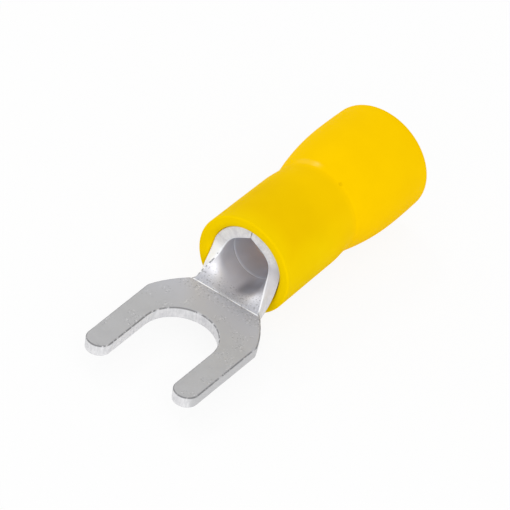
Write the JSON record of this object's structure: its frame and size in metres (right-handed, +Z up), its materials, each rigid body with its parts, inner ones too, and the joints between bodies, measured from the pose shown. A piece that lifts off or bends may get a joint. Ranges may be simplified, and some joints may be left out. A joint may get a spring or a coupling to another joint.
{
  "type": "insulated fork terminal",
  "caption": "Crimp-on wire terminal with an open fork tongue, a rolled barrel and a yellow insulating sleeve with a funnel-shaped wire entry.",
  "frame": {"origin": "under the middle of the bounding box, level with the lowest point of the sleeve's bell", "axes": "+X from the tips of the fork to the wire end, +Z up out of the top face of the tongue, +Y completes the right-handed frame; the barrel's axis is along X"},
  "size_m": [0.0276, 0.009, 0.0081],
  "materials": {
    "tin_plate": "satin tin plating on copper, sheared edges brighter",
    "yellow_vinyl": "smooth, softly glossy moulded vinyl"
  },
  "bodies": {
    "root": {"stamped_terminal": "tin_plate", "insulating_sleeve": "yellow_vinyl"}
  },
  "joints": []
}
